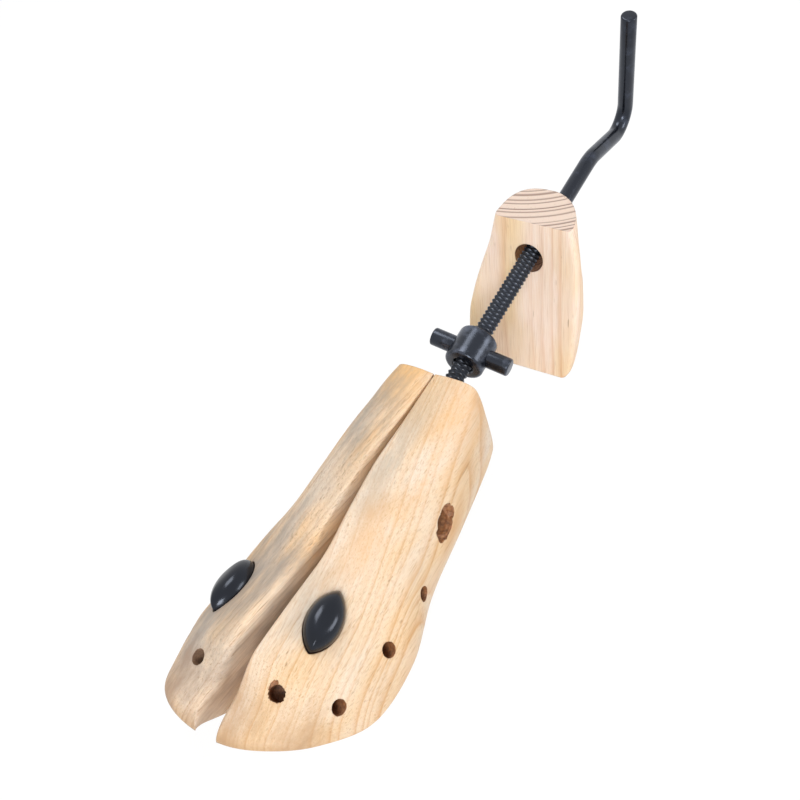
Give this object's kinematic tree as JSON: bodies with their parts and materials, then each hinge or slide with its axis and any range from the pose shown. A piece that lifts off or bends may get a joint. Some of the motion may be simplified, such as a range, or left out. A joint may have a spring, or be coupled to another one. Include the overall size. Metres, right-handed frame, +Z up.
{
  "type": "shoe stretcher",
  "caption": "Two-way wooden shoe stretcher with a split forepart, heel block, wing nut, threaded rod and crank handle.",
  "frame": {"origin": "on the standing plane, below the middle of the bounding box", "axes": "+X along the length from the toe to the handle, +Z up, the crank's grip stands up and leans a little to -Y"},
  "size_m": [0.3775, 0.0914, 0.1533],
  "materials": {
    "pine": "raw, sanded",
    "black_plastic": "glossy",
    "black_steel": "satin",
    "bright_steel": "bright",
    "hinge_brass": "satin"
  },
  "bodies": {
    "anchor": {"anchor_barrel": "black_steel", "anchor_bars": "black_steel", "hinge_pins": "bright_steel"},
    "half_left": {"forepart_left": "pine", "plug_left": "black_plastic", "hinge_leaves_left": "hinge_brass", "hinge_screws_left": "bright_steel", "cam_plate_left": "bright_steel", "cam_screws_left": "bright_steel"},
    "half_right": {"forepart_right": "pine", "plug_right": "black_plastic", "hinge_leaves_right": "hinge_brass", "hinge_screws_right": "bright_steel", "cam_plate_right": "bright_steel", "cam_screws_right": "bright_steel"},
    "screw": {"spindle": "black_steel", "thrust_collars": "bright_steel", "collar_pins": "bright_steel", "stop_ring": "bright_steel"},
    "wedge": {"wedge_nut": "black_steel"},
    "wing_nut": {"nut_barrel": "black_steel", "nut_bars": "black_steel"},
    "heel": {"heel_block": "pine"}
  },
  "joints": [
    {"name": "handle_turn", "type": "hinge", "parent": "anchor", "child": "screw", "pos_m": [-0.0123, 0, 0.046], "axis": [0.9659, 0, 0.2588], "range_deg": [-156, 300]},
    {"name": "wedge_travel", "type": "slide", "parent": "anchor", "child": "wedge", "axis": [-0.9659, 0, -0.2588], "range_m": [-0.0043, 0.0082]},
    {"name": "left_half_swing", "type": "hinge", "parent": "anchor", "child": "half_left", "pos_m": [-0.0193, 0, 0], "axis": [0, 0, -1], "range_deg": [-1.5, 2.9]},
    {"name": "right_half_swing", "type": "hinge", "parent": "anchor", "child": "half_right", "pos_m": [-0.0193, 0, 0], "axis": [0, 0, 1], "range_deg": [-1.5, 2.9]},
    {"name": "wing_nut_travel", "type": "slide", "parent": "anchor", "child": "wing_nut", "axis": [0.9659, 0, 0.2588], "range_m": [-0.015, 0.0225]},
    {"name": "heel_travel", "type": "slide", "parent": "anchor", "child": "heel", "axis": [0.9659, 0, 0.2588], "range_m": [-0.024, 0.022]}
  ],
  "couplings": [
    {"joint": "wedge_travel", "follows": "handle_turn", "m_per_rad": 0.0015597},
    {"joint": "left_half_swing", "follows": "handle_turn", "ratio": 0.009446},
    {"joint": "right_half_swing", "follows": "handle_turn", "ratio": 0.009446}
  ]
}
